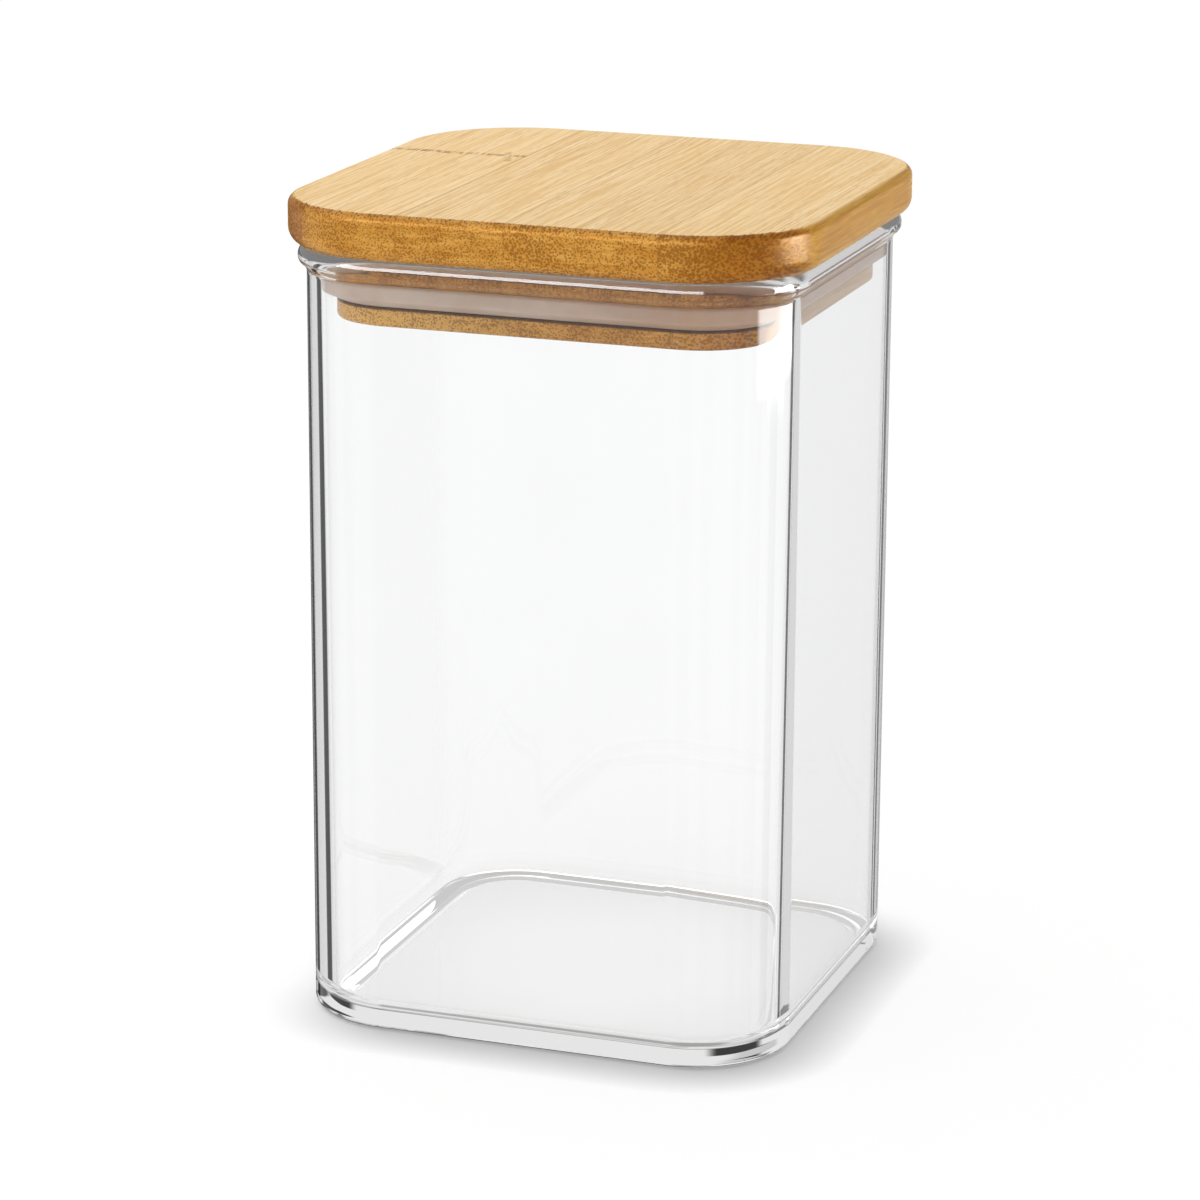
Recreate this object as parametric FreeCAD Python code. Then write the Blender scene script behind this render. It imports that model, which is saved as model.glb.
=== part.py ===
import FreeCAD, Part
import math
import os

# Square glass food jar with a plug lid of glued bamboo staves and a soft sealing ring.
# Millimetres. The origin is the middle of the base on the surface that the jar stands on,
# +Z is up, and the front of the jar looks along -Y.

# Glass jar
jar_width = 92.8
jar_corner_radius = 18.6
jar_height = 145.2
wall_at_mouth = 2.4
wall_at_floor = 3.5
floor_thickness = 2.3
floor_fillet = 4.0
heel_radius = 1.6
push_up_depth = 0.5
push_up_run = 2.4
resting_ring_width = 4.5

# Rolled lip round the mouth of the jar
lip_overhang = 1.6
lip_height = 2.9
lip_edge_round = 1.1
lip_cove_height = 4.4
mouth_flare = 0.7
mouth_flare_height = 3.2
mouth_edge_round = 1.0

# Bamboo lid, milled from one block of glued staves
lid_overhang = 3.6
lid_corner_radius = 23.2
lid_thickness = 8.8
lid_top_round = 1.8
lid_bottom_round = 3.1
plug_depth = 13.0
plug_gap = 3.0
flange_height = 3.6
groove_height = 5.4
groove_depth = 2.6

# Glue joints between the staves: the first stands just outside the plug, and the others are
# given as shares of half the lid's width from its middle
edge_joint_margin = 0.5
stave_joint_shares = (-0.434, -0.028, 0.236, 0.54)

# Sealing ring, seated in the groove of the plug
seal_slack = 0.1
seal_glass_clearance = 0.25
seal_lead_height = 1.5
seal_crown_height = 1.0

# How far a cutting block reaches past what it cuts
overrun = 5.0

# Places that follow from the sizes above
jar_half = jar_width / 2
jar_axis = jar_half - jar_corner_radius
lip_half = jar_half + lip_overhang
mouth_half = jar_half - wall_at_mouth
floor_half = jar_half - wall_at_floor
lid_half = jar_half + lid_overhang
lid_axis = lid_half - lid_corner_radius
lid_top = jar_height + lid_thickness
plug_half = mouth_half - plug_gap
plug_bottom = jar_height - plug_depth
groove_bottom = plug_bottom + flange_height
groove_top = groove_bottom + groove_height
groove_half = plug_half - groove_depth


def rounded_profile(corners):
    """Closed face in the XZ plane through (x, z, radius) corners, each rounded by a tangent arc."""
    points = [FreeCAD.Vector(x, 0, z) for x, z, radius in corners]
    starts = []
    ends = []
    edges = []
    for index, (x, z, radius) in enumerate(corners):
        here = points[index]
        to_last = (points[index - 1] - here).normalize()
        to_next = (points[(index + 1) % len(points)] - here).normalize()
        half_angle = to_last.getAngle(to_next) / 2
        reach = radius / math.tan(half_angle)
        starts.append(here + to_last * reach)
        ends.append(here + to_next * reach)
        if radius:
            inward = (to_last + to_next).normalize()
            middle = here + inward * (radius / math.sin(half_angle) - radius)
            edges.append(Part.Arc(starts[-1], middle, ends[-1]).toShape())
    for index, end in enumerate(ends):
        edges.append(Part.makeLine(end, starts[(index + 1) % len(starts)]))
    return Part.Face(Part.Wire(Part.__sortEdges__(edges)))


def square_sweep(profile, axis):
    """Carries a profile round a square with rounded corners, whose corner axes stand at (axis, axis).

    Each side is an extrusion between two corner axes and each corner a quarter turn about its axis.
    """
    up = FreeCAD.Vector(0, 0, 1)
    middle = FreeCAD.Vector(0, 0, 0)
    side = profile.copy()
    side.translate(FreeCAD.Vector(0, -axis, 0))
    side = side.extrude(FreeCAD.Vector(0, 2 * axis, 0))
    corner = profile.copy()
    corner.translate(FreeCAD.Vector(0, axis, 0))
    corner = corner.revolve(FreeCAD.Vector(axis, axis, 0), up, 90)
    pieces = []
    for turn in range(4):
        for piece in (side, corner):
            turned = piece.copy()
            turned.rotate(middle, up, 90 * turn)
            pieces.append(turned)
    return pieces


def core_block(axis, bottom, top):
    """Block that fills the square between the four corner axes."""
    corner = FreeCAD.Vector(-axis, -axis, bottom)
    return Part.makeBox(2 * axis, 2 * axis, top - bottom, corner)


def joined(pieces):
    """One solid from pieces that meet face to face, with the seams between them dissolved."""
    return pieces[0].multiFuse(pieces[1:]).removeSplitter().Solids[0]


def glass_jar():
    """Jar with a hollow under its base, walls that thicken downwards and a rolled lip."""
    lip_under = jar_height - lip_height
    ring_inner = jar_half - heel_radius - resting_ring_width
    profile = rounded_profile((
        (jar_axis, push_up_depth, 0),
        (ring_inner - push_up_run, push_up_depth, 0),
        (ring_inner, 0, 0),
        (jar_half, 0, heel_radius),
        (jar_half, lip_under - lip_cove_height, 0),
        (lip_half, lip_under, 0),
        (lip_half, jar_height, lip_edge_round),
        (mouth_half + mouth_flare, jar_height, mouth_edge_round),
        (mouth_half, jar_height - mouth_flare_height, 0),
        (floor_half, floor_thickness, floor_fillet),
        (jar_axis, floor_thickness, 0),
    ))
    return joined(square_sweep(profile, jar_axis) + [core_block(jar_axis, push_up_depth, floor_thickness)])


def lid_blank():
    """Whole milled lid: the slab over the rim and, under it, the plug with its groove."""
    slab = rounded_profile((
        (lid_axis, jar_height, 0),
        (lid_half, jar_height, lid_bottom_round),
        (lid_half, lid_top, lid_top_round),
        (lid_axis, lid_top, 0),
    ))
    plug = rounded_profile((
        (jar_axis, plug_bottom, 0),
        (plug_half, plug_bottom, 0),
        (plug_half, groove_bottom, 0),
        (groove_half, groove_bottom, 0),
        (groove_half, groove_top, 0),
        (plug_half, groove_top, 0),
        (plug_half, jar_height, 0),
        (jar_axis, jar_height, 0),
    ))
    slab_pieces = square_sweep(slab, lid_axis) + [core_block(lid_axis, jar_height, lid_top)]
    plug_pieces = square_sweep(plug, jar_axis) + [core_block(jar_axis, plug_bottom, jar_height)]
    return joined([joined(slab_pieces), joined(plug_pieces)])


def lid_staves():
    """The lid split along its glue joints into staves that run from front to back, left to right."""
    blank = lid_blank()
    edge_joint = -plug_half - edge_joint_margin
    joints = [share * lid_half for share in stave_joint_shares]
    edges = [-lid_half - overrun, edge_joint] + joints + [lid_half + overrun]
    depth = 2 * (lid_half + overrun)
    height = plug_depth + lid_thickness + 2 * overrun
    staves = []
    for left, right in zip(edges, edges[1:]):
        corner = FreeCAD.Vector(left, -lid_half - overrun, plug_bottom - overrun)
        staves.append(blank.common(Part.makeBox(right - left, depth, height, corner)).Solids[0])
    return staves


def seal_ring():
    """Soft ring that fills the groove and reaches out almost to the glass, with a sloping lead-in below."""
    bottom = groove_bottom + seal_slack
    top = groove_top - seal_slack
    seal_half = mouth_half - seal_glass_clearance
    profile = rounded_profile((
        (groove_half, bottom, 0),
        (plug_half, bottom, 0),
        (seal_half, bottom + seal_lead_height, 0),
        (seal_half, top - seal_crown_height, 0),
        (plug_half, top, 0),
        (groove_half, top, 0),
    ))
    return joined(square_sweep(profile, jar_axis))


os.makedirs("parts", exist_ok=True)
glass_jar().exportStep("parts/glass_jar.step")
for number, stave in enumerate(lid_staves(), start=1):
    stave.exportStep(f"parts/lid_stave_{number}.step")
seal_ring().exportStep("parts/seal_ring.step")
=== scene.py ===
# %% [markdown]
# # A square glass jar with a bamboo lid
# This lesson dresses a packed construction model: a pressed glass jar, a lid glued from bamboo
# staves, and a soft ring that seals the lid. The construction model stays fixed. Every new surface
# is worked out with numpy in the same frame, in metres, and takes the place of one construction
# node.

# %% Load the frame
import math

import bmesh
import bpy
import numpy as np
from mathutils import Matrix, Vector


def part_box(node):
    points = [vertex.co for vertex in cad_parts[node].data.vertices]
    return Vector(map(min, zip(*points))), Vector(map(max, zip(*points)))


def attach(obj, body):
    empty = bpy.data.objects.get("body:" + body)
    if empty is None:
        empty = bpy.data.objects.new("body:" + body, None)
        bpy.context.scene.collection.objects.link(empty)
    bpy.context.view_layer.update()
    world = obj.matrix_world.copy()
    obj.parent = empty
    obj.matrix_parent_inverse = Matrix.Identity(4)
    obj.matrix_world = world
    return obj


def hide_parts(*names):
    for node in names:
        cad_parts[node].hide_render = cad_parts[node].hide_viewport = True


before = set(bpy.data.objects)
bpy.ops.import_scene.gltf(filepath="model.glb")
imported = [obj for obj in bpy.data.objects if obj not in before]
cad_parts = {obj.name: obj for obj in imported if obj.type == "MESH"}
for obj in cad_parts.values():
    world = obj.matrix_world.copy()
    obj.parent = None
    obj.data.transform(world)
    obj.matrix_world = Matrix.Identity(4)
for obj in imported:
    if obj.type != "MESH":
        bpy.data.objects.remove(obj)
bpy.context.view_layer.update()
MM = 0.001

# %% [markdown]
# ## Sizes
# The sizes that the pieces share are read from the construction model's boxes, so that the looks
# follow the model. What a box can't tell, such as the wall of the jar, is written here in
# millimetres.

# %% Sizes of the jar, the lid and the ring
jar_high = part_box("glass_jar")[1]
lid_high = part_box("lid_stave_3")[1]
plug_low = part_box("lid_stave_3")[0]
seal_low, seal_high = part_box("seal_ring")

jar_height = jar_high.z / MM
lip_half = jar_high.x / MM
lip_overhang = 1.6
jar_half = lip_half - lip_overhang
jar_corner_radius = 18.6
jar_axis = jar_half - jar_corner_radius
wall_at_mouth = 2.4
mouth_half = jar_half - wall_at_mouth

lid_half = lid_high.y / MM
lid_top = lid_high.z / MM
plug_bottom = plug_low.z / MM
plug_gap = 3.0
plug_half = mouth_half - plug_gap
groove_depth = 2.6
groove_half = plug_half - groove_depth
seal_slack = 0.1
seal_bottom, seal_top = seal_low.z / MM, seal_high.z / MM
groove_bottom = seal_bottom - seal_slack
groove_top = seal_top + seal_slack
seal_half = seal_high.x / MM
print(f"jar {2 * jar_half:.1f} mm square and {jar_height:.1f} mm tall")
print(f"lid {2 * lid_half:.1f} mm square")

# %% [markdown]
# ## A profile with rounded corners
# Glass from a mould and wood from a router both have sections made of straight runs and small arcs.
# So a section is given by its corners, each with a radius, and one helper turns the corners into
# points with exact normals. Exact normals matter for glass, where a tilt of one degree already
# bends the view.


# %% Section helper
def unit(vectors):
    """Vectors divided by their own length, and left at zero where they have none."""
    return vectors / np.maximum(np.linalg.norm(vectors, axis=1, keepdims=True), 1e-9)


def rounded_section(corners, arc_steps, run_steps, closed=False):
    """Points and outward normals along a section through (x, z, radius) corners.

    Each corner becomes an arc that touches both neighbouring runs: it starts radius times the
    tangent of half the turn before the corner, and its normals turn evenly from one run's normal to
    the next. A run is divided evenly and keeps one normal. The outside lies to the right of the
    direction of travel.
    """
    spots = np.array([corner[:2] for corner in corners], float)
    radii = np.array([corner[2] for corner in corners], float)
    last = np.roll(spots, 1, axis=0)
    following = np.roll(spots, -1, axis=0)
    into, out = unit(spots - last), unit(following - spots)
    if not closed:
        into[0], out[-1] = out[0], into[-1]
    turn = np.arctan2(into[:, 0] * out[:, 1] - into[:, 1] * out[:, 0], np.sum(into * out, axis=1))
    reach = radii * np.tan(np.abs(turn) / 2)
    share = np.linspace(0.0, 1.0, arc_steps + 1)
    heading = np.arctan2(into[:, 1], into[:, 0])[:, None] + turn[:, None] * share
    normal = np.stack([np.sin(heading), -np.cos(heading)], axis=-1)
    side = np.sign(turn)[:, None, None] * radii[:, None, None]
    start = spots - into * reach[:, None]
    arcs = start[:, None, :] + side * (normal - normal[:, :1, :])
    joins = []
    join_normals = []
    count = len(spots) if closed else len(spots) - 1
    between = np.linspace(0.0, 1.0, run_steps + 1)[1:-1, None]
    for here in range(len(spots)):
        joins.append(arcs[here] if radii[here] > 0 else spots[here][None])
        join_normals.append(normal[here] if radii[here] > 0 else normal[here][:1])
        if here < count:
            after = (here + 1) % len(spots)
            joins.append(arcs[here][-1] + between * (arcs[after][0] - arcs[here][-1]))
            join_normals.append(np.repeat(normal[here][-1:], len(between), axis=0))
    return np.concatenate(joins), np.concatenate(join_normals)


# %% [markdown]
# ## Carrying a section round a rounded square
# The jar, the lid and the ring all have the same plan: a square with round corners. In plan a point
# is the corner's centre plus the rest of its half width along a direction. On a corner the
# direction turns, on a side the centre slides. Written like this, the whole surface is one sum of
# arrays.


# %% Plan of the rounded square
flat_half = 36.0


def square_plan(corner_steps, side_steps):
    """Columns round a rounded square: the place of the corner centre and the outward direction.

    On each corner the direction turns by a quarter and the centre stays at (1, 1). On the side that
    follows, the direction stays and the centre slides to the next corner. Each later quarter is
    the first one, turned.
    """
    turn = np.linspace(0.0, math.pi / 2, corner_steps + 1)
    slide = np.linspace(1.0, -1.0, side_steps + 1)[1:-1]
    ones = np.ones_like(slide)
    centre = np.stack([np.r_[np.ones_like(turn), slide], np.r_[np.ones_like(turn), ones]])
    facing = np.stack([np.r_[np.cos(turn), 0 * ones], np.r_[np.sin(turn), ones]])
    quarter = np.array([[0.0, -1.0], [1.0, 0.0]])
    spins = [np.linalg.matrix_power(quarter, k) for k in range(4)]
    return np.hstack([s @ centre for s in spins]), np.hstack([s @ facing for s in spins])


def carried(section, normals, axis, plan):
    """Grid of points and normals of a section (x, z) carried round the plan.

    x is the half width of the square and axis the distance of the corner centres from the middle,
    so a point lies at axis times the centre plus the rest of x along the outward direction, at
    height z. Inside flat_half the axis shrinks with x, so that the rings of a flat floor are scaled
    copies of one another, down to the smallest.
    """
    centre, facing = plan
    near = (axis * np.minimum(1.0, section[:, 0] / flat_half))[:, None]
    rest = section[:, :1] - near
    points = np.stack([
        near * centre[0] + rest * facing[0],
        near * centre[1] + rest * facing[1],
        np.repeat(section[:, 1:], facing.shape[1], axis=1),
    ], axis=-1)
    directions = np.stack([
        normals[:, :1] * facing[0],
        normals[:, :1] * facing[1],
        np.repeat(normals[:, 1:], facing.shape[1], axis=1),
    ], axis=-1)
    return points, directions


# %% [markdown]
# ## From a grid of points to a piece
# The grid closes on itself round the plan. A ring closes along its section too, while a jar or a
# lid ends in one point in the middle of its top and of its bottom. The finished mesh becomes an
# object at the origin that rides on a body of the construction model and stands in for one of its
# nodes.


# %% Mesh and piece helpers
def grid_faces(rows, columns, rows_closed):
    """Corner numbers of the four-sided faces of a grid whose columns close on themselves."""
    first = np.arange(rows if rows_closed else rows - 1)[:, None]
    column = np.arange(columns)[None, :]
    second = (first + 1) % rows
    beside = (column + 1) % columns
    here, there = first * columns, second * columns
    corners = [here + column, here + beside, there + beside, there + column]
    return np.stack(corners, axis=-1).reshape(-1, 4)


def surface(name, points, directions, rows_closed=False):
    """Mesh of a carried section in metres. An open section ends in one point at either end."""
    rows, columns = points.shape[:2]
    flat_points = points.reshape(-1, 3)
    flat_directions = directions.reshape(-1, 3)
    faces = grid_faces(rows, columns, rows_closed).tolist()
    if not rows_closed:
        column = np.arange(columns)
        beside = (column + 1) % columns
        poles = np.stack([points[0].mean(axis=0), points[-1].mean(axis=0)])
        flat_points = np.vstack([flat_points, poles])
        flat_directions = np.vstack([flat_directions, directions[0, 0], directions[-1, 0]])
        first, last = len(flat_points) - 2, len(flat_points) - 1
        end = (rows - 1) * columns
        faces += np.stack([0 * column + first, beside, column], axis=-1).tolist()
        faces += np.stack([0 * column + last, end + column, end + beside], axis=-1).tolist()
    mesh = bpy.data.meshes.new(name)
    mesh.from_pydata((flat_points * MM).tolist(), [], faces)
    mesh.shade_smooth()
    return mesh, flat_directions


def new_piece(name, mesh, body, node):
    """Object at the origin that rides on a body and takes the place of one construction node."""
    piece = bpy.data.objects.new(name, mesh)
    bpy.context.scene.collection.objects.link(piece)
    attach(piece, body)
    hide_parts(node)
    return piece


def volume_cm3(mesh):
    """Enclosed volume in cubic centimetres, positive where the faces look outwards."""
    solid = bmesh.new()
    solid.from_mesh(mesh)
    volume = solid.calc_volume(signed=True)
    solid.free()
    return volume / (10 * MM) ** 3


# %% [markdown]
# ## The glass jar
# The jar is pressed in one piece: a hollow under the base, a rounded heel, straight outer walls, a
# rolled lip with a cove below it, and an inner wall that thickens towards the floor. A single
# closed surface with a real wall lets the light bend twice in each wall, which draws the dark lines
# along the corners.

# %% Glass jar
wall_at_floor = 3.5
floor_half = jar_half - wall_at_floor
floor_thickness = 2.3
floor_fillet = 4.0
heel_radius = 1.6
resting_ring_width = 4.5
push_up_depth = 0.5
push_up_run = 2.4
lip_height = 2.9
lip_cove = 1.4
mouth_flare = 0.7
mouth_flare_height = 3.2
pole_half = 0.6

lip_under = jar_height - lip_height
ring_inner = jar_half - heel_radius - resting_ring_width
jar_corners = [
    (pole_half, push_up_depth, 0.0),
    (ring_inner - push_up_run, push_up_depth, 2.0),
    (ring_inner, 0.0, 2.0),
    (jar_half, 0.0, heel_radius),
    (jar_half, lip_under - lip_cove, 2.0),
    (lip_half, lip_under, 1.5),
    (lip_half, jar_height, 2.0),
    (mouth_half + mouth_flare, jar_height, 1.0),
    (mouth_half, jar_height - mouth_flare_height, 6.0),
    (floor_half, floor_thickness, floor_fillet),
    (pole_half, floor_thickness, 0.0),
]
section, normals = rounded_section(jar_corners, arc_steps=10, run_steps=6)
jar_plan = square_plan(corner_steps=40, side_steps=6)
points, directions = carried(section, normals, jar_axis, jar_plan)
jar_mesh, jar_normals = surface("glass_jar_visual", points, directions)
jar_mesh.normals_split_custom_set_from_vertices(jar_normals.tolist())
new_piece("jar_glass", jar_mesh, "jar", "glass_jar")
print("glass jar:", len(jar_mesh.polygons), "faces,", round(volume_cm3(jar_mesh), 1), "cm3")

# %% [markdown]
# ## The bamboo lid
# The real lid is glued up from strips first and milled as one block afterwards. The script does the
# same: one surface for the whole milled lid, then cuts along the glue joints. The slab has wider
# corners than the plug, so the corner centres move outwards along the underside of the slab.

# %% Milled lid
lid_corner_radius = 23.2
lid_axis = lid_half - lid_corner_radius
lid_top_round = 1.8
lid_bottom_round = 3.1
lid_corners = [
    (pole_half, plug_bottom, 0.0),
    (plug_half, plug_bottom, 0.7),
    (plug_half, groove_bottom, 0.4),
    (groove_half, groove_bottom, 0.3),
    (groove_half, groove_top, 0.3),
    (plug_half, groove_top, 0.4),
    (plug_half, jar_height, 0.3),
    (lid_half, jar_height, lid_bottom_round),
    (lid_half, lid_top, lid_top_round),
    (pole_half, lid_top, 0.0),
]
section, normals = rounded_section(lid_corners, arc_steps=8, run_steps=3)
just_above = jar_height + 0.01
corner_axes = np.interp(section[:, 1], [jar_height, just_above], [jar_axis, lid_axis])
under_slab = np.isclose(section[:, 1], jar_height)
underside = lid_half - lid_bottom_round - plug_half
slab_share = np.clip((section[:, 0] - plug_half) / underside, 0.0, 1.0)
corner_axes = np.where(under_slab, jar_axis + slab_share * (lid_axis - jar_axis), corner_axes)
lid_plan = square_plan(corner_steps=28, side_steps=6)
points, directions = carried(section, normals, corner_axes, lid_plan)
lid_mesh, lid_normals = surface("milled_lid", points, directions)
print("milled lid:", len(lid_mesh.polygons), "faces,", round(volume_cm3(lid_mesh), 1), "cm3")

# %% [markdown]
# ## Staves
# Bamboo comes in narrow strips, and a broad lid is glued up from several. Each strip has a tone and
# a crowd of fibres of its own. Cutting the milled lid with a plane at each joint keeps the outside
# in one flow from stave to stave. What differs is written on the points as named numbers, so that
# one material can serve all six: how much of the end and of the side of the fibres shows at a
# point, a tone, the crowd and the pitch of the dots, how far the wood is toasted, and a shift that
# gives each stave its own grain.

# %% Numbers that the staves carry
joints = [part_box(f"lid_stave_{number}")[1].x for number in range(1, 6)]
past_the_lid = 2 * lid_half * MM
left_edges = [-past_the_lid] + joints
right_edges = joints + [past_the_lid]
dot_pitches = [0.44, 0.4, 0.4, 0.44, 0.42, 0.48]
stave_numbers = {
    "top_tone": [0.975, 0.965, 0.933, 0.92, 0.902, 0.925],
    "dot_share": [0.7, 0.5, 0.5, 0.65, 0.5, 0.85],
    "dot_fineness": [1 / pitch for pitch in dot_pitches],
    "toasted": [0.55, 0.0, 0.0, 0.0, 0.0, 0.7],
    "grain_shift": [3.0, 11.0, 29.0, 47.0, 71.0, 97.0],
}


def give_points(mesh, name, values):
    """A number on every point of a mesh, under a name that a material can read."""
    attribute = mesh.attributes.new(name, "FLOAT", "POINT")
    spread = np.broadcast_to(values, len(mesh.vertices)).astype(np.float32)
    attribute.data.foreach_set("value", spread)


give_points(lid_mesh, "end_grain", np.abs(lid_normals[:, 1]))
give_points(lid_mesh, "side_grain", np.abs(lid_normals[:, 0]))
print("joints in mm:", [round(joint / MM, 1) for joint in joints])

# %% [markdown]
# ## Cutting along the joints
# A cut leaves an open rim, which is closed by a flat face. Edges that are sharper than sharp_angle
# stay sharp.

# %% Staves
sharp_angle = math.radians(35)


def cut_stave(name, left, right):
    """Copy of the milled lid between two planes across X, closed again where it was cut."""
    solid = bmesh.new()
    solid.from_mesh(lid_mesh)
    for place, keep_right in ((left, True), (right, False)):
        everything = solid.verts[:] + solid.edges[:] + solid.faces[:]
        bmesh.ops.bisect_plane(
            solid, geom=everything, dist=1e-7, plane_co=(place, 0, 0), plane_no=(1, 0, 0),
            clear_inner=keep_right, clear_outer=not keep_right,
        )
        rim = [edge for edge in solid.edges if edge.is_boundary]
        if rim:
            bmesh.ops.holes_fill(solid, edges=rim, sides=0)
    bmesh.ops.recalc_face_normals(solid, faces=solid.faces[:])
    mesh = bpy.data.meshes.new(name)
    solid.to_mesh(mesh)
    solid.free()
    mesh.shade_smooth()
    mesh.set_sharp_from_angle(angle=sharp_angle)
    return mesh


staves = []
for number, (left, right) in enumerate(zip(left_edges, right_edges), start=1):
    mesh = cut_stave(f"stave_{number}_visual", left, right)
    for name, values in stave_numbers.items():
        give_points(mesh, name, values[number - 1])
    staves.append(new_piece(f"stave_{number}", mesh, "lid", f"lid_stave_{number}"))
    print(f"stave {number}:", len(mesh.polygons), "faces,", round(volume_cm3(mesh), 2), "cm3")
bpy.data.meshes.remove(lid_mesh)

# %% [markdown]
# ## The sealing ring
# The soft ring sits in the groove of the plug and bulges out almost to the glass, with a sloping
# lead-in below. It is one closed section carried round the same plan.

# %% Sealing ring
seal_lead_height = 1.5
seal_crown_height = 1.0
seal_corners = [
    (groove_half, seal_bottom, 0.25),
    (plug_half, seal_bottom, 0.6),
    (seal_half, seal_bottom + seal_lead_height, 0.9),
    (seal_half, seal_top - seal_crown_height, 0.9),
    (plug_half, seal_top, 0.6),
    (groove_half, seal_top, 0.25),
]
section, normals = rounded_section(seal_corners, arc_steps=6, run_steps=2, closed=True)
points, directions = carried(section, normals, jar_axis, lid_plan)
seal_mesh, seal_normals = surface("seal_visual", points, directions, rows_closed=True)
seal_mesh.normals_split_custom_set_from_vertices(seal_normals.tolist())
new_piece("seal", seal_mesh, "lid", "seal_ring")
print("seal:", len(seal_mesh.polygons), "faces,", round(volume_cm3(seal_mesh), 2), "cm3")

# %% [markdown]
# ## Node helpers
# Materials are graphs of nodes. A few small helpers make the graphs readable: they add a node and
# fill its sockets by name, do a sum, mix two colours, step smoothly from 0 to 1, and turn a colour
# as seen on a screen into the linear values that nodes use.


# %% Node helpers
def screen(red, green, blue):
    """Linear colour of a screen colour given in 0 to 255: the sRGB curve, undone."""
    share = np.array([red, green, blue]) / 255.0
    linear = np.where(share <= 0.04045, share / 12.92, ((share + 0.055) / 1.055) ** 2.4)
    return (*linear.tolist(), 1.0)


def fill(tree, socket, value):
    """Links a socket to another one, or sets it to a value."""
    if isinstance(value, bpy.types.NodeSocket):
        tree.links.new(value, socket)
    else:
        socket.default_value = value


def add(tree, kind, inputs=None, **settings):
    """Adds a node, sets its options, and fills its sockets with values or other sockets."""
    node = tree.nodes.new(kind)
    for name, value in settings.items():
        setattr(node, name, value)
    for name, value in (inputs or {}).items():
        fill(tree, node.inputs[name], value)
    return node


def calc(tree, operation, first, second=0.0, third=0.0):
    """One step of arithmetic on sockets or numbers."""
    node = add(tree, "ShaderNodeMath", {0: first, 1: second, 2: third}, operation=operation)
    return node.outputs[0]


def blend(tree, share, first, second, mode="MIX"):
    """Colour mixed from two colours by a share, or multiplied where the mode says so."""
    node = add(tree, "ShaderNodeMix", data_type="RGBA", blend_type=mode)
    for name, value in (("Factor", share), ("A", first), ("B", second)):
        coloured = name != "Factor"
        fits = (s for s in node.inputs if s.name == name and (s.type == "RGBA") == coloured)
        fill(tree, next(fits), value)
    return next(s for s in node.outputs if s.type == "RGBA")


def ramp_up(tree, value, low, high):
    """0 below low, 1 above high and a smooth step between, or the reverse where low is larger."""
    node = add(tree, "ShaderNodeMapRange", {"Value": value}, interpolation_type="SMOOTHSTEP")
    backwards = low > high
    node.inputs["From Min"].default_value = min(low, high)
    node.inputs["From Max"].default_value = max(low, high)
    node.inputs["To Min"].default_value = 1.0 if backwards else 0.0
    node.inputs["To Max"].default_value = 0.0 if backwards else 1.0
    return node.outputs["Result"]


def stretched(tree, vector, size):
    """Coordinates divided by a size along each axis, so that a pattern gets cells of that size."""
    scale = tuple(1.0 / s for s in size)
    node = add(tree, "ShaderNodeVectorMath", {0: vector, 1: scale}, operation="MULTIPLY")
    return node.outputs[0]


def new_material(name):
    """Material with an empty graph, its tree and its output node."""
    material = bpy.data.materials.new(name)
    material.use_nodes = True
    material.node_tree.nodes.clear()
    return material, material.node_tree, add(material.node_tree, "ShaderNodeOutputMaterial")


# %% [markdown]
# ## Bamboo
# Bamboo is straight fibres with darker bundles among them. Cut across, the bundles are dots about
# half a millimetre apart. Cut along, the same bundles are long fine dashes. A solid texture
# stretched along the grain gives both at once, and the numbers end_grain and side_grain say which
# colouring a point gets. Towards the left and right edges of the lid the cut ends are toasted. At
# the left of the plug they are painted lighter, as painted light.

# %% Bamboo material
bamboo, tree, out = new_material("sanded_bamboo")
spot = add(tree, "ShaderNodeTexCoord").outputs["Object"]
in_mm = add(tree, "ShaderNodeVectorMath", {0: spot, "Scale": 1 / MM}, operation="SCALE").outputs[0]
place = add(tree, "ShaderNodeSeparateXYZ", {0: in_mm}).outputs


def number_of(name):
    """Socket with a number that the points of the staves carry."""
    return add(tree, "ShaderNodeAttribute", attribute_name=name).outputs["Fac"]


grain_stride = 17.0
shift = number_of("grain_shift")
along_grain = calc(tree, "MULTIPLY", shift, grain_stride)
offset = add(tree, "ShaderNodeCombineXYZ", {"Y": along_grain, "Z": shift}).outputs[0]
grain_spot = add(tree, "ShaderNodeVectorMath", {0: in_mm, 1: offset}, operation="ADD").outputs[0]


def cells(size, fineness, randomness):
    """Distance to the nearest cell's middle, for cells of a size in mm divided by a fineness."""
    node = add(tree, "ShaderNodeTexVoronoi", {"Scale": fineness, "Randomness": randomness})
    tree.links.new(stretched(tree, grain_spot, size), node.inputs["Vector"])
    return node.outputs["Distance"]


def noise(size, detail):
    """Smooth noise around one half, with waves of a size in mm."""
    node = add(tree, "ShaderNodeTexNoise", {"Scale": 1.0, "Detail": detail, "Roughness": 0.6})
    tree.links.new(stretched(tree, grain_spot, size), node.inputs["Vector"])
    return node.outputs["Fac"]


def times(first, second):
    """Product of two sockets or numbers."""
    return calc(tree, "MULTIPLY", first, second)


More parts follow.
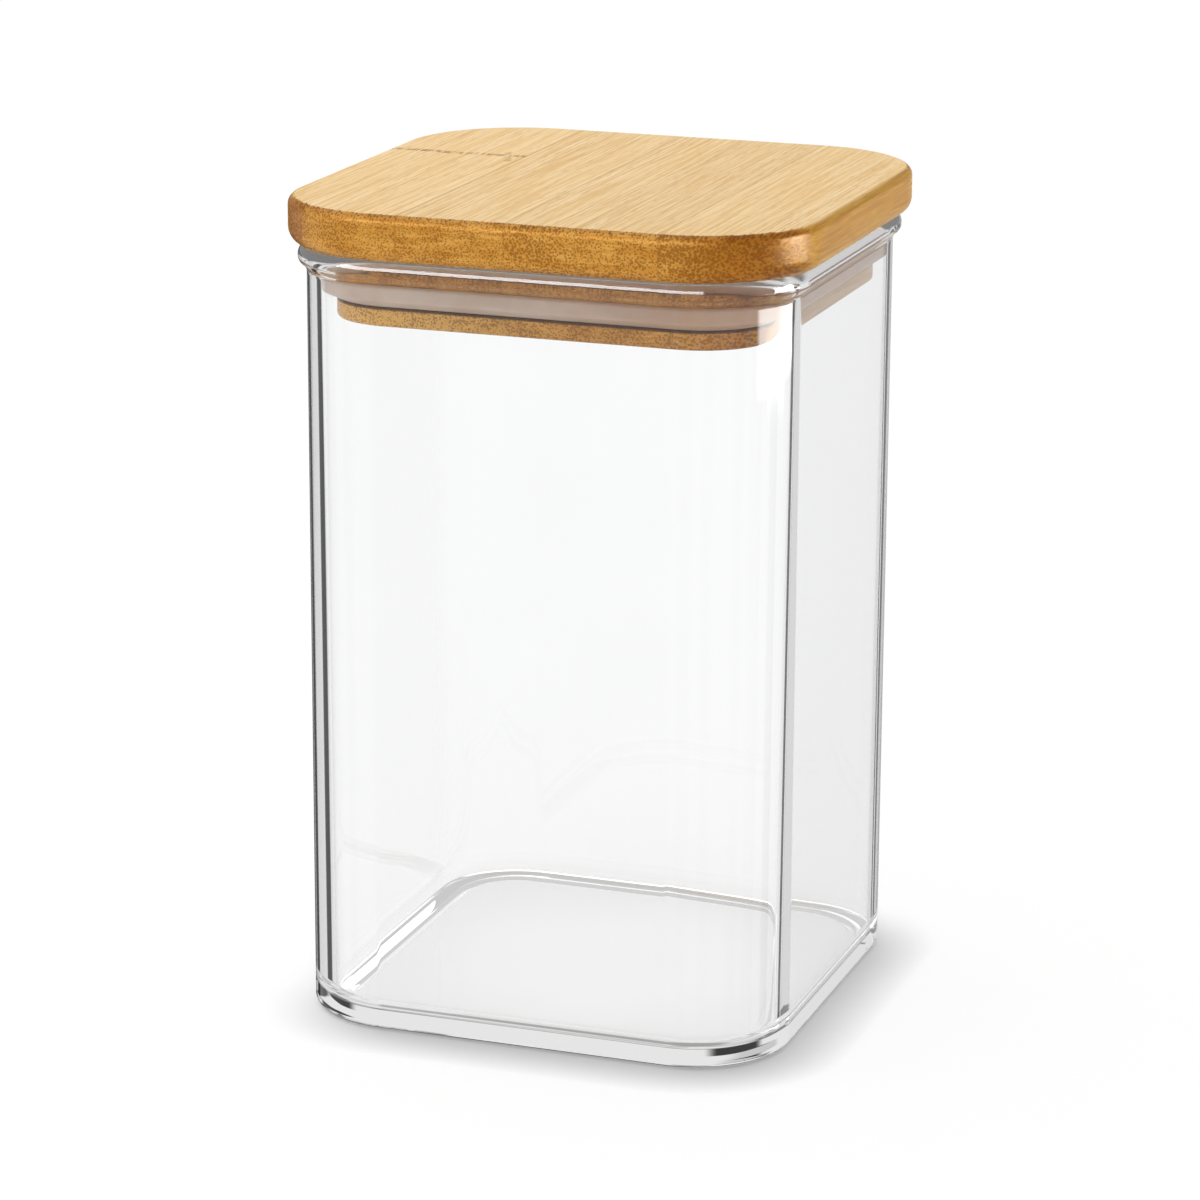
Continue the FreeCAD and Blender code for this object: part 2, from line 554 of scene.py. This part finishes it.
bundles = cells((1.0, 60.0, 1.0), number_of("dot_fineness"), 1.0)
streaks = ramp_up(tree, noise((0.45, 26.0, 0.45), 4.0), 0.36, 0.64)
dashes = ramp_up(tree, cells((0.5, 6.5, 0.5), 1.0, 1.0), 0.34, 0.14)
drifts = ramp_up(tree, noise((5.0, 120.0, 5.0), 2.0), 0.35, 0.65)
patches = ramp_up(tree, noise((5.0, 120.0, 3.0), 3.0), 0.36, 0.64)
smears = ramp_up(tree, noise((7.0, 120.0, 0.5), 3.0), 0.35, 0.65)
crowding = calc(tree, "MULTIPLY_ADD", number_of("dot_share"), 0.3, times(patches, 0.14))
dots = ramp_up(tree, calc(tree, "SUBTRACT", bundles, crowding), 0.32, 0.08)

long_colour = blend(tree, streaks, screen(230, 189, 131), screen(248, 222, 177))
long_colour = blend(tree, times(dashes, 0.42), long_colour, screen(200, 150, 86))
long_colour = blend(tree, times(drifts, 0.35), long_colour, screen(243, 208, 152))
side_colour = blend(tree, streaks, screen(176, 117, 27), screen(206, 157, 56))
side_colour = blend(tree, times(dashes, 0.35), side_colour, screen(164, 102, 28))
end_colour = blend(tree, smears, screen(206, 143, 58), screen(224, 166, 80))
end_colour = blend(tree, times(patches, 0.3), end_colour, screen(180, 116, 40))
outwards = ramp_up(tree, calc(tree, "ABSOLUTE", place["X"]), 26.0, 42.0)
end_colour = blend(tree, times(number_of("toasted"), outwards), end_colour, screen(160, 88, 4))
# Painted light: the plug's cut ends are painted lighter towards the left, where more light falls on
# them.
on_plug = ramp_up(tree, place["Z"], groove_bottom + 0.3, groove_bottom - 0.3)
painted_light_left = times(on_plug, ramp_up(tree, place["X"], 12.0, -28.0))
end_colour = blend(tree, times(painted_light_left, 0.75), end_colour, screen(240, 190, 108))
turned_side = ramp_up(tree, number_of("side_grain"), 0.74, 0.97)
end_colour = blend(tree, turned_side, end_colour, side_colour)
dot_depth = calc(tree, "MULTIPLY_ADD", turned_side, -0.35, 0.65)
end_colour = blend(tree, times(dots, dot_depth), end_colour, screen(128, 74, 14))
print("colours of top, sides and cut ends:", len(tree.nodes), "nodes")

# %% [markdown]
# ## Glue joints and the node mark
# A joint shows as a hairline at its own place across X. A cane of bamboo also has nodes, like the
# knuckles of a finger, and planing leaves a brown line there: it runs across the first two staves,
# broken into short dashes, and hooks towards the front before the joint. Both are drawn from the
# distance to a line in Object coordinates. The oiled edges shine a little with a warm tint, and the
# sanded top is matte.

# %% Glue joints and the node mark
end_share = number_of("end_grain")
glue_strengths = [0.1, 0.34, 0.24, 0.2, 0.18]
glue = 0.0
for joint, strength in zip(joints, glue_strengths):
    aside = calc(tree, "ABSOLUTE", calc(tree, "SUBTRACT", place["X"], joint / MM))
    glue = calc(tree, "MAXIMUM", glue, times(ramp_up(tree, aside, 0.3, 0.08), strength))

node_line, node_reach = 15.7, joints[1] / MM
wander = calc(tree, "MULTIPLY_ADD", noise((6.0, 400.0, 6.0), 2.0), 2.4, -1.2 - node_line)
from_line = calc(tree, "ABSOLUTE", calc(tree, "ADD", place["Y"], wander))
left_of_joint = ramp_up(tree, place["X"], node_reach + 0.1, node_reach - 0.3)
across = times(ramp_up(tree, from_line, 1.7, 0.3), left_of_joint)
hook_slope, hook_place = 0.35, 25.2
lean = calc(tree, "ADD", times(place["Y"], hook_slope), hook_place - hook_slope * node_line)
from_hook = calc(tree, "ABSOLUTE", calc(tree, "ADD", place["X"], lean))
hook_reach = calc(tree, "ABSOLUTE", calc(tree, "SUBTRACT", place["Y"], node_line - 1.0))
hook = times(ramp_up(tree, from_hook, 1.1, 0.3), ramp_up(tree, hook_reach, 6.0, 4.0))
broken = ramp_up(tree, noise((0.45, 5.0, 0.45), 2.0), 0.4, 0.6)
mark = times(calc(tree, "MAXIMUM", across, times(hook, 0.8)), broken)


def toned(colour, tone):
    """Colour times a tone that each stave carries."""
    level = add(tree, "ShaderNodeCombineColor", {0: tone, 1: tone, 2: tone}).outputs[0]
    return blend(tree, 1.0, colour, level, "MULTIPLY")


long_colour = toned(long_colour, number_of("top_tone"))
long_colour = blend(tree, times(mark, 0.75), long_colour, screen(150, 98, 44))
side_mask = ramp_up(tree, number_of("side_grain"), 0.2, 0.6)
lowered = calc(tree, "ADD", end_share, -0.25)
ragged = calc(tree, "MULTIPLY_ADD", noise((0.5, 60.0, 0.5), 2.0), 0.5, lowered)
end_mask = ramp_up(tree, ragged, 0.14, 0.32)
edge_line = times(ramp_up(tree, ragged, 0.12, 0.3), ramp_up(tree, end_share, 0.9, 0.5))
edge_dark = times(edge_line, calc(tree, "MULTIPLY_ADD", dots, 0.4, 0.22))
end_colour = blend(tree, edge_dark, end_colour, screen(112, 62, 16))
wood = blend(tree, end_mask, blend(tree, side_mask, long_colour, side_colour), end_colour)
wood = blend(tree, glue, wood, screen(148, 94, 38))
# Painted shadow: the wood is painted almost black in a band at the groove's bottom, for the shade
# in the gap under the ring.
from_shaded_seam = calc(tree, "ABSOLUTE", calc(tree, "SUBTRACT", place["Z"], groove_bottom))
wood = blend(tree, times(ramp_up(tree, from_shaded_seam, 0.7, 0.3), 0.9), wood, screen(60, 24, 5))
height = calc(tree, "SUBTRACT", times(streaks, 0.5), times(dots, 0.5))
bump = add(tree, "ShaderNodeBump", {
    "Height": height, "Strength": 0.25, "Distance": 0.06 * MM,
}).outputs[0]
edge_share = calc(tree, "MAXIMUM", end_share, number_of("side_grain"))
sheen = ramp_up(tree, edge_share, 0.12, 0.6)
gloss = calc(tree, "MULTIPLY_ADD", sheen, -0.5, 0.83)
gloss = calc(tree, "MULTIPLY_ADD", streaks, -0.06, gloss)
shader = add(tree, "ShaderNodeBsdfPrincipled", {
    "Base Color": wood, "Roughness": gloss, "Normal": bump,
    "Specular IOR Level": 0.2, "Specular Tint": screen(255, 222, 166),
}).outputs[0]
tree.links.new(shader, out.inputs["Surface"])
for piece in staves:
    piece.data.materials.append(bamboo)
print("bamboo:", len(tree.nodes), "nodes")

# %% [markdown]
# ## Soft silicone
# The ring is clouded, painted slightly pink as painted light from the bamboo behind it, and painted
# darker and browner towards its right end as painted shade. Light goes a little way into it, which
# the subsurface share stands for, and a slow cloud keeps it from looking like paint.

# %% Silicone material
silicone, tree, out = new_material("clouded_silicone")
spot = add(tree, "ShaderNodeTexCoord").outputs["Object"]
cloud = add(tree, "ShaderNodeTexNoise", {
    "Vector": spot, "Scale": 140.0, "Detail": 3.0,
}).outputs["Fac"]
# Painted light: the ring's clouded colour is tinted pink for the bamboo that shows through it.
milk_and_painted_light = blend(tree, ramp_up(tree, cloud, 0.35, 0.65), screen(206, 184, 166), screen(218, 198, 182))
across_x = add(tree, "ShaderNodeSeparateXYZ", {0: spot}).outputs["X"]
# Painted shade: the ring is painted darker and browner towards its right end.
milk_and_painted_light = blend(tree, ramp_up(tree, across_x, 0.0, 0.034), milk_and_painted_light, screen(195, 160, 133))
shader = add(tree, "ShaderNodeBsdfPrincipled", {
    "Base Color": milk_and_painted_light, "Roughness": calc(tree, "MULTIPLY_ADD", cloud, 0.1, 0.35),
    "Subsurface Weight": 0.3, "Subsurface Scale": 0.002,
}).outputs[0]
tree.links.new(shader, out.inputs["Surface"])
seal_mesh.materials.append(silicone)
print("silicone:", len(tree.nodes), "nodes")

# %% [markdown]
# ## Glass
# Clear glass is a plain transmitting shader on a closed wall. The lamps' light has to get through
# it to the floor and the lid, and a path tracer finds that hard, so shadow rays see a clear filter
# instead. A ray that has been mirrored more often than most_turns passes the wall, since it brings
# little more light.

# %% Glass material
glass_index = 1.5
most_turns = 2.5
glass, tree, out = new_material("clear_glass")
spot = add(tree, "ShaderNodeTexCoord").outputs["Object"]
wave = add(tree, "ShaderNodeTexNoise", {
    "Vector": spot, "Scale": 45.0, "Detail": 1.0,
}).outputs["Fac"]
tint = blend(tree, wave, (0.962, 0.964, 0.964, 1.0), (0.978, 0.98, 0.98, 1.0))
ripple = add(tree, "ShaderNodeBump", {
    "Height": wave, "Strength": 0.06, "Distance": 0.1 * MM,
}).outputs[0]
clear = add(tree, "ShaderNodeBsdfPrincipled", {
    "Base Color": tint, "Roughness": 0.0, "IOR": glass_index,
    "Transmission Weight": 1.0, "Normal": ripple,
}).outputs[0]
mirror_share = add(tree, "ShaderNodeFresnel", {"IOR": glass_index}).outputs[0]
filter_colour = blend(tree, mirror_share, (1.0, 1.0, 1.0, 1.0), (0.0, 0.0, 0.0, 1.0))
veil = add(tree, "ShaderNodeBsdfTransparent", {"Color": filter_colour}).outputs[0]
path = add(tree, "ShaderNodeLightPath").outputs
gone = add(tree, "ShaderNodeBsdfTransparent").outputs[0]
tired = calc(tree, "GREATER_THAN", path["Glossy Depth"], most_turns)
shader = add(tree, "ShaderNodeMixShader", {0: tired, 1: clear, 2: gone}).outputs[0]
shader = add(tree, "ShaderNodeMixShader", {0: path["Is Shadow Ray"], 1: shader, 2: veil}).outputs[0]
tree.links.new(shader, out.inputs["Surface"])
jar_mesh.materials.append(glass)
print("glass:", len(tree.nodes), "nodes")

# %% [markdown]
# ## Room
# A photograph of glass is made by what stands round the glass. A studio hangs white panels and
# black cards there. Here one world does that work and asks each ray what has happened to it:
# whether it was mirrored, scattered by a dull surface or passed through glass, and which way it
# leaves.

# %% Kinds of ray and bearings
past_one_wall = 2.5
panel_softness = 0.03
room = bpy.data.worlds.new("studio_room")
bpy.context.scene.world = room
room.use_nodes = True
tree = room.node_tree
tree.nodes.clear()


def kinds_of_ray(tree):
    """Shares of 0 or 1: mirrored, scattered, through glass, and through more than one wall."""
    path = add(tree, "ShaderNodeLightPath").outputs
    mirrored, scattered, through = (
        calc(tree, "GREATER_THAN", path[name], 0.5)
        for name in ("Glossy Depth", "Diffuse Depth", "Transmission Depth")
    )
    across_jar = calc(tree, "GREATER_THAN", path["Transmission Depth"], past_one_wall)
    return mirrored, scattered, through, across_jar


def grey(level):
    """Colour without hue."""
    return (level, level, level, 1.0)


mirrored, scattered, through, across_jar = kinds_of_ray(tree)
direction = add(tree, "ShaderNodeTexCoord").outputs["Generated"]
heading = add(tree, "ShaderNodeSeparateXYZ", {0: direction}).outputs
bearing = calc(tree, "ARCTAN2", heading["X"], heading["Y"])


def near_bearing(tree, bearing, middle, half_width, repeats=1, soft=1.5):
    """1 for bearings within half_width of the middle, in degrees from +Y towards +X.

    The cosine of the angle from the middle is compared with the cosine of the half width, and the
    sides are soft over the given number of degrees either way. Where the bearing is multiplied by a
    whole number first, the same gap comes back that many times in a round.
    """
    from_middle = calc(tree, "SUBTRACT", bearing, math.radians(middle))
    closeness = calc(tree, "COSINE", calc(tree, "MULTIPLY", from_middle, repeats))
    outer, inner = (math.cos(math.radians(repeats * (half_width + way * soft))) for way in (1, -1))
    return ramp_up(tree, closeness, outer, inner)


def lamp_panel(middle, half_width, low, high):
    """1 inside a panel of light, given by bearings in degrees and heights of a unit direction."""
    above = ramp_up(tree, heading["Z"], low - panel_softness, low + panel_softness)
    below = ramp_up(tree, heading["Z"], high + panel_softness, high - panel_softness)
    upright = calc(tree, "MULTIPLY", above, below)
    return calc(tree, "MULTIPLY", upright, near_bearing(tree, bearing, middle, half_width))


print("room, kinds of ray and bearings:", len(tree.nodes), "nodes")

# %% [markdown]
# ## Rays that glance off the outside
# They see a pale table, a dark one at the left, and two bright panels for the highlights on the lip
# and on the corner of the lid.

# %% Rays that glance off the outside
lip_panel_light = 14.0
corner_panel_light = 36.0
table = blend(tree, near_bearing(tree, bearing, -41, 16), grey(0.7), grey(0.06))
table = blend(tree, near_bearing(tree, bearing, 11, 9), table, grey(0.6))
glance = blend(tree, ramp_up(tree, heading["Z"], -0.05, 0.05), table, grey(0.35))
glance = blend(tree, lamp_panel(-160, 40, 0.17, 0.62), glance, grey(lip_panel_light))
glance = blend(tree, lamp_panel(70, 13, -0.2, 0.3), glance, grey(corner_panel_light))
print("room with its table and panels:", len(tree.nodes), "nodes")

# %% [markdown]
# ## Rays caught inside a wall
# They see pale panels with dark gaps between them, which draw the lines along the edges. Real glass
# swallows a little light at each turn, so rays that have turned many times are dimmed, apart from
# those that leave upwards from the base or run down the right-hand wall.

# %% Rays caught inside a wall
gap_bearings = ((1, 8.5), (24, 6), (62.5, 6))
gaps = 0.0
for middle, half_width in gap_bearings:
    gaps = calc(tree, "MAXIMUM", gaps, near_bearing(tree, bearing, middle, half_width, repeats=4))
overhead = ramp_up(tree, heading["Z"], 0.32, 0.55)
level_share = ramp_up(tree, calc(tree, "ABSOLUTE", heading["Z"]), 0.45, 0.36)
gaps = calc(tree, "MULTIPLY", gaps, calc(tree, "MULTIPLY_ADD", level_share, 0.7, 0.3))
behind = ramp_up(tree, calc(tree, "ABSOLUTE", bearing), math.radians(90), math.radians(75))
gaps = calc(tree, "MULTIPLY", gaps, calc(tree, "MULTIPLY_ADD", behind, 0.65, 0.35))
caught = blend(tree, gaps, grey(0.8), grey(0.02))
caught = blend(tree, ramp_up(tree, heading["Z"], -0.86, -0.95), caught, grey(0.35))
turns = add(tree, "ShaderNodeLightPath").outputs["Glossy Depth"]
worn_out = calc(tree, "GREATER_THAN", turns, most_turns)
along_right = calc(tree, "MULTIPLY", near_bearing(tree, bearing, 51, 14, soft=4), 0.8)
upwards = ramp_up(tree, heading["Z"], -0.02, 0.02)
along_wall = calc(tree, "MAXIMUM", upwards, along_right)
off_line = calc(tree, "SUBTRACT", 1.0, along_wall)
caught = blend(tree, calc(tree, "MULTIPLY", worn_out, off_line), caught, grey(0.2))
caught = blend(tree, across_jar, caught, blend(tree, overhead, grey(0.95), grey(0.6)))
print("room with the gaps between its panels:", len(tree.nodes), "nodes")

# %% [markdown]
# ## Light for wood and paper
# It comes evenly, and a little more from the front. Rays that pass straight through the glass see
# white. At the end the kind of each ray picks what it sees.

# %% The finished room
sideways = calc(tree, "MULTIPLY", heading["X"], -0.25)
front = calc(tree, "ADD", sideways, calc(tree, "MULTIPLY", heading["Y"], -0.95))
from_front = ramp_up(tree, front, 0.1, 0.9)
even = blend(tree, from_front, grey(0.6), grey(0.8))
even = blend(tree, through, even, blend(tree, from_front, grey(1.05), grey(1.4)))
seen = blend(tree, through, grey(1.0), blend(tree, overhead, grey(1.0), grey(0.6)))
seen = blend(tree, mirrored, seen, blend(tree, through, glance, caught))
seen = blend(tree, scattered, seen, even)
light = add(tree, "ShaderNodeBackground", {"Color": seen, "Strength": 1.0}).outputs[0]
tree.links.new(light, add(tree, "ShaderNodeOutputWorld").inputs["Surface"])
print("finished room:", len(tree.nodes), "nodes")

# %% [markdown]
# ## Floor
# A sheet of white paper. Where the jar stands close above it a painted shadow darkens the sheet,
# measured by the share of open space round a point. Seen through the glass it is almost white, with
# a painted shade that grows away from the middle under the jar.

# %% Floor
floor_mesh = bpy.data.meshes.new("floor")
floor_reach = 4.0
floor_level = -0.0001
corners = [(-1, -1), (1, -1), (1, 1), (-1, 1)]
floor_points = [(x * floor_reach, y * floor_reach, floor_level) for x, y in corners]
floor_mesh.from_pydata(floor_points, [], [(0, 1, 2, 3)])
floor = bpy.data.objects.new("floor", floor_mesh)
bpy.context.scene.collection.objects.link(floor)
paper, tree, out = new_material("white_paper")
mirrored, scattered, through = kinds_of_ray(tree)[:3]
# Painted shadow: the sheet's glow is darkened where the jar closes a point in, leaning away from
# the lamp.
light_from = add(tree, "ShaderNodeCombineXYZ", {"X": -0.5, "Y": 0.55, "Z": 0.67}).outputs[0]
contact_reach = 0.012
open_share = add(tree, "ShaderNodeAmbientOcclusion", {
    "Distance": contact_reach, "Normal": light_from,
}).outputs["AO"]
spot = add(tree, "ShaderNodeTexCoord").outputs["Object"]
away = add(tree, "ShaderNodeVectorMath", {0: spot}, operation="LENGTH").outputs["Value"]
# Painted shade: seen through the glass, the sheet's glow is painted darker away from the middle
# under the jar.
under_jar = calc(tree, "MULTIPLY_ADD", ramp_up(tree, away, 0.05, 0.015), 0.1, 0.795)
beside_jar = calc(tree, "MULTIPLY_ADD", open_share, 0.68, 0.16)
shade = add(tree, "ShaderNodeMix", {0: through, 2: beside_jar, 3: under_jar}).outputs[0]
glow = add(tree, "ShaderNodeEmission", {"Color": grey(1.0), "Strength": shade}).outputs[0]
sheet = add(tree, "ShaderNodeBsdfDiffuse", {"Color": grey(0.18)}).outputs[0]
lit = add(tree, "ShaderNodeAddShader", {0: sheet, 1: glow}).outputs[0]
print("floor:", round(2 * floor_reach, 1), "m square,", len(tree.nodes), "nodes so far")

# %% [markdown]
# ## Card at the right
# Mirrored rays pass the sheet by, all but those that meet a bright card at the right, laid there to
# light the corner of the lip.

# %% Card at the right
card_light = 12.0
place = add(tree, "ShaderNodeSeparateXYZ", {0: spot}).outputs
to_card = near_bearing(tree, calc(tree, "ARCTAN2", place["X"], place["Y"]), 74, 25, soft=3)
on_card = calc(tree, "MULTIPLY", to_card, ramp_up(tree, away, 0.58, 0.62))
on_card = calc(tree, "MULTIPLY", on_card, ramp_up(tree, away, 0.75, 0.72))
on_card = calc(tree, "MULTIPLY", on_card, calc(tree, "SUBTRACT", 1.0, through))
card = add(tree, "ShaderNodeEmission", {"Color": grey(1.0), "Strength": card_light}).outputs[0]
gone = add(tree, "ShaderNodeBsdfTransparent").outputs[0]
mirrored_floor = add(tree, "ShaderNodeMixShader", {0: on_card, 1: gone, 2: card}).outputs[0]
passed_by = calc(tree, "MULTIPLY", mirrored, calc(tree, "SUBTRACT", 1.0, scattered))
shader = add(tree, "ShaderNodeMixShader", {0: passed_by, 1: lit, 2: mirrored_floor}).outputs[0]
tree.links.new(shader, out.inputs["Surface"])
floor_mesh.materials.append(paper)
print("paper and card:", len(tree.nodes), "nodes")

# %% [markdown]
# ## Lamp
# One wide softbox hangs overhead, a little to the left, and gives the lid its light top and darker
# edges. A sun lamp with a wide angle does the same at any distance. Rays through the glass don't
# see it, because the room already gives them their white.

# %% Lamp
sky = bpy.data.lights.new("wide_softbox", "SUN")
sky.energy = 1.1
sky.angle = math.radians(70)
holder = bpy.data.objects.new("wide_softbox", sky)
bpy.context.scene.collection.objects.link(holder)
lamp_bearing = Vector((-0.35, 0.1, 1.0))
holder.rotation_euler = lamp_bearing.to_track_quat("Z", "Y").to_euler()
holder.visible_transmission = False

# %% [markdown]
# ## Camera
# A long lens from about 0.84 m, a little above the jar and to its right, turned by a hair about its
# own axis. The values come from lining up the lid's and the jar's outlines.

# %% Camera
yaw, pitch, roll = 0.3391, 0.2702, 0.0050
focal_px, image_px = 4441.3, 1200.0
distance = 838.14 * MM
target = Vector((-0.7771 * MM, 0.0, 73.3868 * MM))
back = Vector((math.sin(yaw) * math.cos(pitch), -math.cos(yaw) * math.cos(pitch), math.sin(pitch)))
right = Vector((math.cos(yaw), math.sin(yaw), 0.0))
up = back.cross(right)
across = right * math.cos(roll) + up * math.sin(roll)
upright = up * math.cos(roll) - right * math.sin(roll)
turned = Matrix((across, upright, back)).transposed()
lens = bpy.data.cameras.new("camera")
lens.sensor_width = 36.0
lens.lens = focal_px / image_px * lens.sensor_width
lens.clip_start = 0.01
camera = bpy.data.objects.new("camera", lens)
bpy.context.scene.collection.objects.link(camera)
camera.matrix_world = Matrix.Translation(target + back * distance) @ turned.to_4x4()
bpy.context.scene.camera = camera
bpy.context.scene.view_settings.view_transform = "Standard"
print("camera at", [round(c, 3) for c in camera.location], "lens", round(lens.lens, 1))
